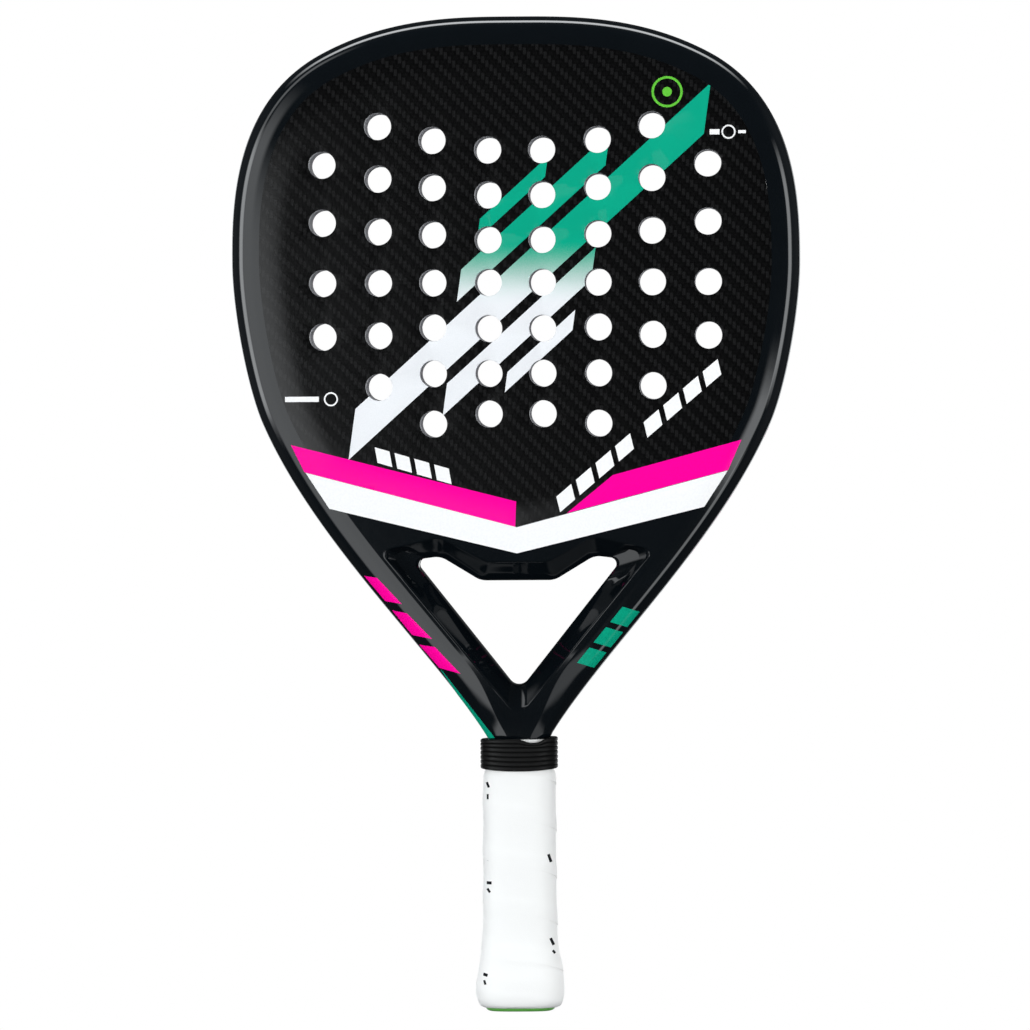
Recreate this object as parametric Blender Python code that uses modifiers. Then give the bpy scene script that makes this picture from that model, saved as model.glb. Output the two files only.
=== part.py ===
"""Padel racket: a hollow carbon hoop with two legs, a throat bridge, a drilled foam core between two
carbon faces, and a wrapped handle with a rubber collar and a butt cap.

+Z runs from the butt to the tip, +X across the face and -Y out of the front face. The origin is the
middle of the butt. Every size below is in millimetres, and MM turns it into Blender's metres.
"""

import math

import bmesh
import bpy
from mathutils import Matrix, Vector
from mathutils.geometry import interpolate_bezier, intersect_line_line_2d

MM = 0.001
GAP = 0.3  # clearance between pieces that touch

LENGTH = 455.0
WIDTH = 260.0
THICKNESS = 38.0
FRAME_DEPTH = 37.4  # the faces stand 0.3 proud of the frame on each side

# Right half of the outline as Bezier knots: (point, handle before, handle after).
OUTLINE_KNOTS = (
    ((0.0, LENGTH), (-25.0, LENGTH), (25.0, LENGTH)),
    ((89.0, 438.1), (56.9, 455.4), (130.4, 415.7)),
    ((WIDTH / 2, 343.1), (WIDTH / 2, 365.7), (WIDTH / 2, 321.6)),
    ((116.3, 269.2), (123.4, 285.7), (92.5, 214.1)),
    ((14.4, 125.5), (38.3, 164.4), (12.6, 122.0)),
    ((12.8, 112.0), (12.8, 117.0), (12.8, 96.0)),
    ((12.8, 14.0), (12.8, 40.0), (12.8, 0.0)),
)
KNOT_STEPS = (7, 10, 8, 13, 3, 2)  # straight pieces between one knot and the next

# The tube's section, from the outer edge (0) to the inner wall (1), and its depth (0 to 1).
TUBE_SECTION = ((0.0, 0.44), (0.08, 0.72), (0.27, 0.89), (0.62, 0.985), (1.0, 1.0))
TUBE_WALL = 1.7
HOOP_TUBE_WIDTH = 13.0
LEG_TUBE_WIDTH = 8.4
WIDE_ABOVE_Z, NARROW_BELOW_Z = 150.0, 124.0
# Depth of frame and throat at a few heights: the neck thins down to go into the handle.
NECK_HEIGHTS = (112.0, 125.0, 140.0, 155.0, 170.0)
NECK_DEPTHS = (19.2, 24.0, 31.0, 35.8, FRAME_DEPTH)

FACE_THICKNESS = 1.4
CHEVRON_CENTRE_Z = 222.0  # the faces end in a wide V above the bridge
CHEVRON_SLOPE = 0.26

# Drill chart of one half of the face: the column's x, then each hole's height from the centre row.
HOLE_RADIUS = 6.2
HOLE_SIDES = 12
CENTRE_ROW_Z = 333.4
DRILL_CHART = (
    (12.3, (60.5, 40.0, 19.5, 0.0, -21.0, -41.5, -60.0)),
    (37.7, (65.0, 43.5, 22.0, 0.0, -20.5, -41.5, -64.5)),
    (62.5, (71.5, 47.5, 23.5, 0.0, -24.0, -47.5)),
    (88.0, (54.0, 27.5, 0.0, -24.5)),
)

# Right half of the throat opening and of the crease round its bevel: corner x, z and radius.
OPENING_CORNERS = ((17.0, 197.3, 10.0), (35.3, 208.4, 9.0), (47.8, 206.8, 3.0), (0.0, 146.3, 5.0))
CREASE_CORNERS = ((14.0, 206.0, 10.0), (35.5, 217.4, 9.0), (62.5, 211.0, 3.0), (0.0, 134.9, 6.0))
CORNER_STEPS = 4
OPENING_DEPTH = 20.0  # front to back where the opening is narrowest
THROAT_FOOT_Z = 121.0

# Layers of the handle: half width, with half the depth SLIMMER less.
SLIMMER = 1.5
RING_POINTS = 20
SQUARENESS = 3.0  # exponent of the superellipse: 2 is an ellipse
SLEEVE_TOP_Z, SLEEVE_FOOT_Z = 110.5, 35.8
SLEEVE_INSIDE, SLEEVE_OUTSIDE = 13.5, 14.3
# Each grip layer as (height, half width outside), top to bottom, with its thickness.
BASE_GRIP = ((107.0, 16.2), (40.0, 16.2), (30.0, 16.8), (22.0, 18.2), (14.0, 19.4), (8.0, 19.5))
BASE_GRIP_THICKNESS = 1.6
OVERGRIP = (
    (122.0, 15.3), (109.3, 15.3), (107.6, 17.0), (104.0, 17.2), (40.0, 17.2), (30.0, 17.8),
    (22.0, 19.2), (14.0, 20.4), (8.0, 20.5), (4.6, 19.9), (2.5, 18.4), (1.6, 17.0),
)
OVERGRIP_THICKNESS = 0.7
TAPE = ((121.0, 16.0), (112.0, 16.0))
TAPE_THICKNESS = 0.4
COLLAR_TOP_Z, COLLAR_FOOT_Z = 125.3, 110.0
COLLAR_OUTSIDE, COLLAR_INSIDE, COLLAR_LIP = 17.7, 16.4, 15.4
COLLAR_RIBS = 7
RIB_DEPTH = 0.5

CAP_SKIRT = (
    (35.5, 14.3), (30.0, 14.9), (22.0, 16.3), (14.0, 17.5), (8.0, 17.6), (4.0, 17.0), (2.4, 16.2),
)
CAP_INSIDE = 13.5
CAP_FLOOR_Z = 5.4
DISC = ((0.0, 13.4), (0.5, 15.0), (1.2, 15.7), (2.1, 16.0))
CORD_HOLE_RADIUS = 4.0

CORE_BAR = (8.8, 18.6)  # width and depth of the foam bar between the legs
CORE_BAR_Z = (14.0, THROAT_FOOT_Z - GAP)
PALLET = (14.4, 1.5)  # width and thickness
PALLET_Z = (14.0, 110.0)
PALLET_INNER_Y = 9.9
SOFT_EDGE = 0.8


def clear_scene():
    for item in list(bpy.data.objects):
        bpy.data.objects.remove(item, do_unlink=True)


def new_collection(name, hidden=False):
    collection = bpy.data.collections.new(name)
    collection.hide_render = hidden
    bpy.context.scene.collection.children.link(collection)
    return collection


def new_material(name, colour, roughness, metallic=0.0, coat=0.0):
    material = bpy.data.materials.new(name)
    material.use_nodes = True
    shader = material.node_tree.nodes["Principled BSDF"]
    shader.inputs["Base Color"].default_value = (*colour, 1.0)
    shader.inputs["Roughness"].default_value = roughness
    shader.inputs["Metallic"].default_value = metallic
    shader.inputs["Coat Weight"].default_value = coat
    material.diffuse_color = (*colour, 1.0)
    return material


def add_object(name, data, material):
    item = bpy.data.objects.new(name, data)
    item.data.materials.append(material)
    parts.objects.link(item)
    return item


def add_cutter(name, mesh):
    cutter = bpy.data.objects.new(name, mesh)
    cutter.hide_render = True
    cutter.display_type = "WIRE"
    cutters.objects.link(cutter)
    return cutter


def cut(item, cutter):
    """Subtract the cutter with a Boolean modifier, which stays on the object."""
    boolean = item.modifiers.new("cut_" + cutter.name, "BOOLEAN")
    boolean.operation = "DIFFERENCE"
    boolean.object = cutter


def loft(name, rings, loop=False):
    """A closed mesh through rings with the same number of points. It is capped at both ends, or with
    loop its last ring joins its first, as in a tube's outside followed by its bore backwards."""
    bm = bmesh.new()
    rows = [[bm.verts.new(Vector(point) * MM) for point in ring] for ring in rings]
    pairs = list(zip(rows, rows[1:] + rows[:1]) if loop else zip(rows, rows[1:]))
    for row, following in pairs:
        for i, vert in enumerate(row):
            j = (i + 1) % len(row)
            bm.faces.new((vert, row[j], following[j], following[i]))
    if not loop:
        bm.faces.new(rows[0])
        bm.faces.new(rows[-1])
    bmesh.ops.recalc_face_normals(bm, faces=bm.faces)
    mesh = bpy.data.meshes.new(name)
    bm.to_mesh(mesh)
    bm.free()
    mesh.shade_smooth()
    mesh.set_sharp_from_angle(angle=math.radians(35))
    return mesh


def between(value, low, high):
    """0 at or below low, 1 at or above high, and straight between them."""
    return min(max((value - low) / (high - low), 0.0), 1.0)


def frame_depth(z):
    """Front-to-back depth of the frame and throat at a height."""
    if z >= NECK_HEIGHTS[-1]:
        return NECK_DEPTHS[-1]
    for i in range(len(NECK_HEIGHTS) - 1):
        if z < NECK_HEIGHTS[i + 1]:
            share = between(z, NECK_HEIGHTS[i], NECK_HEIGHTS[i + 1])
            return NECK_DEPTHS[i] + share * (NECK_DEPTHS[i + 1] - NECK_DEPTHS[i])
    return NECK_DEPTHS[-1]


def tube_width(z):
    share = between(z, NARROW_BELOW_Z, WIDE_ABOVE_Z)
    return LEG_TUBE_WIDTH + share * (HOOP_TUBE_WIDTH - LEG_TUBE_WIDTH)


def outline_stations():
    """(point, inward normal) down the right half of the outline, from the tip to the leg's end."""
    points = [Vector(OUTLINE_KNOTS[0][0])]
    for start, end, steps in zip(OUTLINE_KNOTS, OUTLINE_KNOTS[1:], KNOT_STEPS):
        knots = [Vector((*point, 0.0)) for point in (start[0], start[2], end[1], end[0])]
        points += [point.to_2d() for point in interpolate_bezier(*knots, steps + 1)[1:]]
    stations = []
    for i, point in enumerate(points):
        before = points[i - 1] if i else Vector((-points[1].x, points[1].y))
        after = points[i + 1] if i + 1 < len(points) else point + Vector((0.0, -1.0))
        along = (after - before).normalized()
        stations.append((point, Vector((along.y, -along.x))))
    return stations


def mirrored(points):
    """The right half's points followed by the left half's, back up to the first one."""
    return points + [Vector((-p.x, p.y)) for p in reversed(points) if abs(p.x) > 1e-6]


def inset(stations, clearance):
    """The outline moved in to the tube's inner wall, and clearance further."""
    return [point + normal * (tube_width(point.y) + clearance) for point, normal in stations]


def rounded(corners, start, steps=CORNER_STEPS):
    """Half outline from start, with each corner (x, z, radius) as an arc, closed by its mirror image."""
    spots = [Vector(start)] + [Vector(corner[:2]) for corner in corners]
    spots.append(Vector((-spots[-2].x, spots[-2].y)))
    points = [spots[0]]
    for before, corner, after, (_, _, radius) in zip(spots, spots[1:], spots[2:], corners):
        to_before, to_after = (before - corner).normalized(), (after - corner).normalized()
        half_angle = to_before.angle(to_after) / 2
        centre = corner + (to_before + to_after).normalized() * radius / math.sin(half_angle)
        first = corner + to_before * radius / math.tan(half_angle) - centre
        last = corner + to_after * radius / math.tan(half_angle) - centre
        turn = first.angle_signed(last)
        for i in range(steps + 1):
            points.append(centre + Matrix.Rotation(-turn * i / steps, 2) @ first)
    right = [p for p in points if p.x > -1e-3]
    return mirrored([Vector((max(p.x, 0.0), p.y)) for p in right])


def tube_ring(point, normal, wall):
    """One ring of the frame tube: its outside with wall 0, or its bore."""
    width = tube_width(point.y) - 2 * wall
    depth = frame_depth(point.y) / 2 - wall
    half = [(wall + across * width, up * depth) for across, up in TUBE_SECTION]
    section = half + [(across, -up) for across, up in reversed(half)]
    return [(point.x + normal.x * s, y, point.y + normal.y * s) for s, y in section]


def make_frame_tube(stations, material):
    right = list(reversed(stations))
    left = [(Vector((-p.x, p.y)), Vector((-n.x, n.y))) for p, n in stations[1:]]
    outside = [tube_ring(point, normal, 0.0) for point, normal in right + left]
    bore = [tube_ring(point, normal, TUBE_WALL) for point, normal in right + left]
    add_object("frame_tube", loft("frame_tube", outside + bore[::-1], loop=True), material)


def split_at_chevron(points, centre_z):
    """The points above the V with this centre height, where the line crosses it, and those below."""
    end = Vector((WIDTH / 2, centre_z + CHEVRON_SLOPE * WIDTH / 2))
    for i in range(1, len(points)):
        shoulder = intersect_line_line_2d(points[i - 1], points[i], Vector((0.0, centre_z)), end)
        if shoulder:
            return points[:i], shoulder, points[i:]
    return points, end, []


def face_outline(stations):
    """Outline of the core and the faces: inside the hoop, and down to the V above the bridge."""
    rim, shoulder, _ = split_at_chevron(inset(stations, GAP), CHEVRON_CENTRE_Z)
    return mirrored([*rim, shoulder, Vector((0.0, CHEVRON_CENTRE_Z))])


def add_spline(curve, points):
    spline = curve.splines.new("POLY")
    spline.points.add(len(points) - 1)
    for slot, point in zip(spline.points, points):
        slot.co = (point.x * MM, point.y * MM, 0.0, 1.0)
    spline.use_cyclic_u = True


def hole_circles():
    step = 2 * math.pi / HOLE_SIDES
    for column_x, heights in DRILL_CHART:
        for height in heights:
            for x in (column_x, -column_x):
                centre = Vector((x, CENTRE_ROW_Z + height))
                yield [
                    centre + HOLE_RADIUS * Vector((math.cos(step * i), math.sin(step * i)))
                    for i in range(HOLE_SIDES)
                ]


def make_plate(name, outline, holes, low_y, high_y, material):
    """A flat outline with holes, from low_y to high_y, standing in the XZ plane."""
    curve = bpy.data.curves.new(name, "CURVE")
    curve.dimensions = "2D"
    curve.fill_mode = "BOTH"
    curve.extrude = (high_y - low_y) / 2 * MM
    for points in [outline, *holes]:
        add_spline(curve, points)
    plate = add_object(name, curve, material)
    plate.rotation_euler = (math.pi / 2, 0.0, 0.0)
    plate.location = (0.0, (low_y + high_y) / 2 * MM, 0.0)
    return plate


def make_face(stations, foam, carbon):
    outline, holes = face_outline(stations), list(hole_circles())
    outside = THICKNESS / 2
    inside = outside - FACE_THICKNESS
    make_plate("eva_core", outline, holes, GAP - inside, inside - GAP, foam)
    make_plate("front_face_skin", outline, holes, -outside, -inside, carbon)
    make_plate("rear_face_skin", outline, holes, inside, outside, carbon)


def throat_cutter():
    """The opening: straight through the middle, and widening to the crease at the front and back."""
    opening = rounded(OPENING_CORNERS, (0.0, OPENING_CORNERS[0][1]))
    crease = rounded(CREASE_CORNERS, (0.0, CREASE_CORNERS[0][1]))
    near, far = OPENING_DEPTH / 2, FRAME_DEPTH / 2
    overshoot = [c + (c - o) * 0.1 for c, o in zip(crease, opening)]
    reach = far + (far - near) * 0.1
    levels = ((overshoot, -reach), (opening, -near), (opening, near), (overshoot, reach))
    rings = [[(p.x, y, p.y) for p in points] for points, y in levels]
    return add_cutter("throat_cutter", loft("throat_cutter", rings))


def make_throat_bridge(stations, material):
    """The bridge under the faces with the inner arm facings: a ring round the throat opening."""
    top = CHEVRON_CENTRE_Z - GAP
    _, shoulder, below = split_at_chevron(inset(stations, GAP), top)
    sides = [point for point in below if point.y > THROAT_FOOT_Z]
    foot = Vector((sides[-1].x, THROAT_FOOT_Z))
    outline = mirrored([Vector((0.0, top)), shoulder, *sides, foot])
    plate = make_plate("throat_plate", outline, [], -FRAME_DEPTH / 2, FRAME_DEPTH / 2, material)
    bpy.context.view_layer.update()
    graph = bpy.context.evaluated_depsgraph_get()
    mesh = bpy.data.meshes.new_from_object(plate.evaluated_get(graph))
    bm = bmesh.new()
    bm.from_mesh(mesh)
    bmesh.ops.remove_doubles(bm, verts=bm.verts, dist=1e-6)
    bmesh.ops.recalc_face_normals(bm, faces=bm.faces)
    bm.to_mesh(mesh)
    bm.free()
    block = add_object("throat_block", mesh, material)
    block.matrix_world = plate.matrix_world
    bpy.data.objects.remove(plate)
    cut(block, throat_cutter())
    bpy.context.view_layer.update()
    graph = bpy.context.evaluated_depsgraph_get()
    cut_mesh = bpy.data.meshes.new_from_object(block.evaluated_get(graph))
    cut_mesh.transform(block.matrix_world)
    bpy.data.objects.remove(block)
    for vert in cut_mesh.vertices:
        vert.co.y *= frame_depth(vert.co.z / MM) / FRAME_DEPTH
    add_object("throat_bridge", cut_mesh, material)


def handle_ring(z, half_width):
    """A superellipse across the handle at a height."""
    power = 2 / SQUARENESS
    ring = []
    for i in range(RING_POINTS):
        c, s = math.cos(2 * math.pi * i / RING_POINTS), math.sin(2 * math.pi * i / RING_POINTS)
        x = half_width * math.copysign(abs(c) ** power, c)
        y = (half_width - SLIMMER) * math.copysign(abs(s) ** power, s)
        ring.append((x, y, z))
    return ring


def make_wrap(name, profile, thickness, material):
    """A tube round the handle from an outside profile, top to bottom, and one wall thickness."""
    outside = [handle_ring(z, half) for z, half in profile]
    inside = [handle_ring(z, half - thickness) for z, half in reversed(profile)]
    return add_object(name, loft(name, outside + inside, loop=True), material)


def make_collar(material):
    pitch = (COLLAR_TOP_Z - COLLAR_FOOT_Z) / COLLAR_RIBS
    outside = []
    for i in range(COLLAR_RIBS):
        top = COLLAR_TOP_Z - i * pitch
        outside.append(handle_ring(top, COLLAR_OUTSIDE - RIB_DEPTH))
        outside.append(handle_ring(top - 0.3 * pitch, COLLAR_OUTSIDE))
        outside.append(handle_ring(top - 0.7 * pitch, COLLAR_OUTSIDE))
    outside.append(handle_ring(COLLAR_FOOT_Z, COLLAR_OUTSIDE - RIB_DEPTH))
    inside = [
        handle_ring(COLLAR_FOOT_Z, COLLAR_INSIDE + 0.4),
        handle_ring(COLLAR_FOOT_Z + 0.6, COLLAR_INSIDE),
        handle_ring(COLLAR_TOP_Z - 3.0, COLLAR_INSIDE),
        handle_ring(COLLAR_TOP_Z - 2.4, COLLAR_LIP),
        handle_ring(COLLAR_TOP_Z, COLLAR_LIP),
    ]
    add_object("rubber_collar", loft("rubber_collar", outside + inside, loop=True), material)


def cord_hole_cutter():
    bm = bmesh.new()
    bmesh.ops.create_cone(
        bm, cap_ends=True, segments=24, radius1=CORD_HOLE_RADIUS * MM,
        radius2=CORD_HOLE_RADIUS * MM, depth=4 * CAP_FLOOR_Z * MM,
    )
    mesh = bpy.data.meshes.new("cord_hole")
    bm.to_mesh(mesh)
    bm.free()
    return add_cutter("cord_hole", mesh)


def make_butt(cap_material, disc_material):
    """The cup over the handle's end and the plate under it, both with the wrist cord's hole."""
    inside = [handle_ring(CAP_FLOOR_Z, CAP_INSIDE), handle_ring(CAP_SKIRT[0][0], CAP_INSIDE)]
    outside = [handle_ring(z, half) for z, half in CAP_SKIRT]
    cap = add_object("butt_cap", loft("butt_cap", inside + outside), cap_material)
    rings = [handle_ring(z, half) for z, half in DISC]
    disc = add_object("butt_cap_disc", loft("butt_cap_disc", rings), disc_material)
    hole = cord_hole_cutter()
    cut(cap, hole)
    cut(disc, hole)


def make_bar(name, size, z_range, centre_y, material):
    """A foam bar with soft edges up the handle: size is its width and depth."""
    bm = bmesh.new()
    bmesh.ops.create_cube(bm, size=1.0)
    bmesh.ops.scale(
        bm, verts=bm.verts, vec=(size[0] * MM, size[1] * MM, (z_range[1] - z_range[0]) * MM)
    )
    mesh = bpy.data.meshes.new(name)
    bm.to_mesh(mesh)
    bm.free()
    bar = add_object(name, mesh, material)
    bar.location = (0.0, centre_y * MM, sum(z_range) / 2 * MM)
    bevel = bar.modifiers.new("soft_edges", "BEVEL")
    bevel.width = SOFT_EDGE * MM
    bevel.segments = 2


def make_handle(foam, laminate, cushion, tape, white):
    make_bar("handle_core", CORE_BAR, CORE_BAR_Z, 0.0, foam)
    offset = PALLET_INNER_Y + PALLET[1] / 2
    make_bar("handle_pallet_front", PALLET, PALLET_Z, -offset, foam)
    make_bar("handle_pallet_rear", PALLET, PALLET_Z, offset, foam)
    sleeve = ((SLEEVE_TOP_Z, SLEEVE_OUTSIDE), (SLEEVE_FOOT_Z, SLEEVE_OUTSIDE))
    make_wrap("handle_sleeve", sleeve, SLEEVE_OUTSIDE - SLEEVE_INSIDE, laminate)
    make_wrap("base_grip", BASE_GRIP, BASE_GRIP_THICKNESS, cushion)
    make_wrap("overgrip", OVERGRIP, OVERGRIP_THICKNESS, white)
    make_wrap("finishing_tape", TAPE, TAPE_THICKNESS, tape)


clear_scene()
parts = new_collection("padel_racket")
cutters = new_collection("cutters", hidden=True)

lacquer = new_material("gloss_black_lacquer", (0.004, 0.006, 0.008), 0.12, coat=1.0)
carbon = new_material("carbon_twill", (0.008, 0.008, 0.009), 0.3, coat=0.6)
eva_foam = new_material("grey_eva_foam", (0.28, 0.28, 0.29), 0.9)
handle_foam = new_material("handle_foam", (0.35, 0.33, 0.28), 0.9)
glass_fibre = new_material("fibre_wrap", (0.05, 0.05, 0.05), 0.5)
cushion = new_material("cushion_grip", (0.02, 0.02, 0.02), 0.7)
adhesive_tape = new_material("adhesive_tape", (0.02, 0.02, 0.02), 0.4)
white_tape = new_material("white_overgrip", (0.85, 0.86, 0.87), 0.6)
rubber = new_material("black_rubber", (0.01, 0.01, 0.01), 0.6)
black_plastic = new_material("black_plastic", (0.015, 0.015, 0.015), 0.45)
green_plastic = new_material("green_plastic", (0.0, 0.35, 0.2), 0.35)

right_half = outline_stations()
make_frame_tube(right_half, lacquer)
make_face(right_half, eva_foam, carbon)
make_throat_bridge(right_half, lacquer)
make_handle(handle_foam, glass_fibre, cushion, adhesive_tape, white_tape)
make_collar(rubber)
make_butt(black_plastic, green_plastic)
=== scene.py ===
"""Looks of the padel racket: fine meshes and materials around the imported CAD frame.

Sizes are in millimetres in the CAD's frame: +Z from butt to tip, -Y out of the front face. MM turns
them into Blender's metres.
"""

import math

import bmesh
import bpy
from mathutils import Matrix, Vector, noise
from mathutils.geometry import delaunay_2d_cdt, interpolate_bezier, intersect_line_line_2d


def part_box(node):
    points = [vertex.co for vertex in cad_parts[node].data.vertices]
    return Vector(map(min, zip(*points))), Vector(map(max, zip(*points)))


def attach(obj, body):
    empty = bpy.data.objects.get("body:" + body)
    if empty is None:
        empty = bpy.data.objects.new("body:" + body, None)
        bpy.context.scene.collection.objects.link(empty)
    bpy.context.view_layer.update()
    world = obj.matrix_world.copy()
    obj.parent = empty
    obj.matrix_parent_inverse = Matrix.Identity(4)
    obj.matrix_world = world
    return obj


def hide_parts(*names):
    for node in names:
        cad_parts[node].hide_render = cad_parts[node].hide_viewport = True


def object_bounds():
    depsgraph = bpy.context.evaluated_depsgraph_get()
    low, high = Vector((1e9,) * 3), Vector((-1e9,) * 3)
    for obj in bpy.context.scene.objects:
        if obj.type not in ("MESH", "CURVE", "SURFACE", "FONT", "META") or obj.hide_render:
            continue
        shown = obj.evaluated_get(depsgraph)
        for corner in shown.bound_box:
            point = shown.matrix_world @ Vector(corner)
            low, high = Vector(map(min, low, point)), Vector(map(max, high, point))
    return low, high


MM = 0.001
UP = Vector((0.0, 0.0, 1.0))
TINY, NEAR_MIDDLE = 1e-6, 1e-3
SHARP_ANGLE = 35.0  # edges past this many degrees are shaded sharp

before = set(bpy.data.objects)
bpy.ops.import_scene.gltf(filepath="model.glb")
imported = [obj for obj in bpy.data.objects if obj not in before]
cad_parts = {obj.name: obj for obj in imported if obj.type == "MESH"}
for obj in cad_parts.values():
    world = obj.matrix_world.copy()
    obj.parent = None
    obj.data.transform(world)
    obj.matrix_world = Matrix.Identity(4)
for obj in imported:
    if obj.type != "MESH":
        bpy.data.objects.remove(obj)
cad_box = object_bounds()


def span(node, axis):
    """Lowest and highest coordinate of a CAD node along one axis, in millimetres."""
    low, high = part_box(node)
    return low[axis] / MM, high[axis] / MM


LENGTH = (cad_box[1].z - cad_box[0].z) / MM
HALF_WIDTH = span("frame_tube", 0)[1]
FRAME_HALF_DEPTH = span("frame_tube", 1)[1]
FACE_OUT, FACE_IN = -span("front_face_skin", 1)[0], -span("front_face_skin", 1)[1]
CORE_HALF_DEPTH = span("eva_core", 1)[1]
THROAT_FOOT_Z = span("throat_bridge", 2)[0]
LEG_FOOT_Z = span("frame_tube", 2)[0]
CHEVRON_CENTRE_Z = span("front_face_skin", 2)[0]
COLLAR_FOOT_Z, COLLAR_TOP_Z = span("rubber_collar", 2)
COLLAR_OUTSIDE = span("rubber_collar", 0)[1]
GRIP_FOOT_Z, GRIP_TOP_Z = span("overgrip", 2)
DISC_TOP_Z = span("butt_cap_disc", 2)[1]

# Right half of the outline as Bezier knots: (point, handle before, handle after).
OUTLINE_KNOTS = (
    ((0.0, LENGTH), (-25.0, LENGTH), (25.0, LENGTH)),
    ((89.0, 438.1), (56.9, 455.4), (130.4, 415.7)),
    ((HALF_WIDTH, 343.1), (HALF_WIDTH, 365.7), (HALF_WIDTH, 321.6)),
    ((116.3, 269.2), (123.4, 285.7), (92.5, 214.1)),
    ((14.4, 125.5), (38.3, 164.4), (12.9, 123.0)),
    ((12.6, THROAT_FOOT_Z), (12.7, 122.0), (12.6, 119.0)),
)
KNOT_STEPS = (30, 40, 30, 64, 3)

# Rim section from the side's middle to the inner wall, as Bezier knots of (share of the tube's
# width, share of half the depth): a flat side, a round shoulder and a shallow crown.
SIDE_FLAT = ((0.0, 0.0), (0.0, 0.16), (0.0, 0.32))
SHOULDER = ((0.0, 0.481), (0.0, 0.70), (0.192, 0.890), (0.5, 0.944))
CROWN = ((0.5, 0.944), (0.667, 0.973), (0.833, 0.994), (1.0, 1.0))
SHOULDER_STEPS, CROWN_STEPS = 12, 7

HOOP_TUBE_WIDTH, LEG_TUBE_WIDTH = 13.0, 8.4
WIDE_ABOVE_Z, NARROW_BELOW_Z = 150.0, 124.0
NECK_HEIGHTS = (112.0, 118.0, 124.0, 131.0, 140.0, 150.0, 160.0, 170.0)
NECK_HALF_DEPTHS = (10.4, 11.0, 11.7, 12.9, 15.2, 17.2, 18.5, FRAME_HALF_DEPTH)
LEG_HALF_DEPTH, LEG_SQUARENESS, LEG_SIDES = 9.6, 4.0, 24

CHEVRON_SLOPE = 0.26
CHEVRON_STEPS = 24
JOINT = 0.02  # hairline between face and frame
CROWN_WIDTH, CROWN_DROP = 12.7, 0.28  # the face falls towards its edge to meet the frame
FACE_INSETS = (2.0, 4.5, 7.5, 10.0, CROWN_WIDTH)
CLEARANCE, SLACK = 1.5, 0.5  # between points laid inside the face and its holes and edge
NECK_STEP, ARM_STEP = 1.8, 9.0  # between points laid over the neck and over the arms
NECK_START, EDGE_SHARE = 2.0, 0.4  # the first row's rise, and the share of a step left at edges

# Drill chart of one half of the face: the column's x, then each hole's height from the centre row.
HOLE_RADIUS = 6.2
HOLE_SIDES = 48
HOLE_RIM = ((0.25, 0.0), (0.08, 0.08), (0.0, 0.25))  # beyond the radius, below the face
CENTRE_ROW_Z = 333.4
DRILL_CHART = (
    (12.3, (60.5, 40.0, 19.5, 0.0, -21.0, -41.5, -60.0)),
    (37.7, (65.0, 43.5, 22.0, 0.0, -20.5, -41.5, -64.5)),
    (62.5, (71.5, 47.5, 23.5, 0.0, -24.0, -47.5)),
    (88.0, (54.0, 27.5, 0.0, -24.5)),
)

# Right half of the throat opening and of the crease round its bevel: corner x, z and radius.
OPENING_CORNERS = ((17.0, 197.3, 10.0), (35.3, 208.4, 9.0), (47.8, 206.8, 3.0), (0.0, 146.3, 5.0))
CREASE_CORNERS = ((14.0, 206.0, 10.0), (35.5, 217.4, 9.0), (62.5, 211.0, 3.0), (0.0, 134.9, 6.0))
CORNER_STEPS, SIDE_STEPS = 10, 14
FLAT_GAP, FLAT_COSINE = 0.003, 0.9  # a face this near and this parallel to the arms' flat is on it
# The bevel from the crease (0) to the opening's edge (1), with its distance from the middle plane.
BEVEL = ((-0.07, FRAME_HALF_DEPTH), (-0.02, 18.92), (0.03, 18.6), (0.08, 18.05), (0.3, 16.0),
         (0.5, 14.2), (0.9, 10.7), (0.97, 9.9), (1.0, 9.0))
# The same where the bevel is wide, in the outer corners: a short drop to a shallow pocket.
POCKET_DEPTHS = (FRAME_HALF_DEPTH, 18.9, 18.4, 17.3, 11.8, 11.6, 11.3, 10.2, 9.0)
POCKET_FROM, POCKET_WIDTH = 11.5, 14.0

RING_POINTS = 96
SQUARENESS = 3.0  # exponent of the handle's superellipse section
SLIMMER = 1.5  # the handle's half depth is this much less than its half width

GRIP_SPARE = 6.0  # the profile runs on this far past the tape's end
# Profile of the overgrip's outer surface, from the butt up: (height, half width).
GRIP_PROFILE = (
    (GRIP_FOOT_Z, 16.6), (2.4, 18.2), (4.6, 19.5), (8.0, 20.0), (14.0, 19.9), (22.0, 18.7),
    (30.0, 17.4), (40.0, 16.9), (60.0, 16.7), (90.0, 16.6), (104.0, 16.5), (107.5, 16.4),
    (110.5, 15.6), (114.0, 15.2), (GRIP_TOP_Z + GRIP_SPARE, 14.9),
)
GRIP_PITCH = 21.5
GRIP_STEP = 0.34  # how far lapped tape stands out
GRIP_SINK = (4.5, 9.0)  # between these distances above its lower edge it comes down
GRIP_WELD = 0.01
GRIP_THICKNESS = 0.5
GRIP_STRAIGHT_Z = 60.0  # above here a distance along the profile grows as the height does
GRIP_CRUMPLE, GRIP_PULL = 0.08, 0.05  # unevenness all over the grip, and along the tape
CRUMPLES_ROUND, CRUMPLE_LENGTH, PULL_START = 2.2, 17.0, 5.0
# Rows of vertices across the tape, by distance above its lower edge.
GRIP_ROWS = (0.0, 0.4, 1.5, 3.0, 4.5, 5.5, 6.5, 7.5, 9.0, 11.0, 13.0, 15.0, 17.0, 19.0, 20.6, 21.2)
GRIP_SEAM_Z = 93.0  # a seam's height at the left side of the handle
TAPE_RISE = 0.5  # the tape's end shows over the collar by this, on the right of the front
TAPE_LOBE = (1.46, 1.52, 1.76, 1.84)  # where it rises and falls, in half turns round the handle


# ---- Small helpers ----


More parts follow.
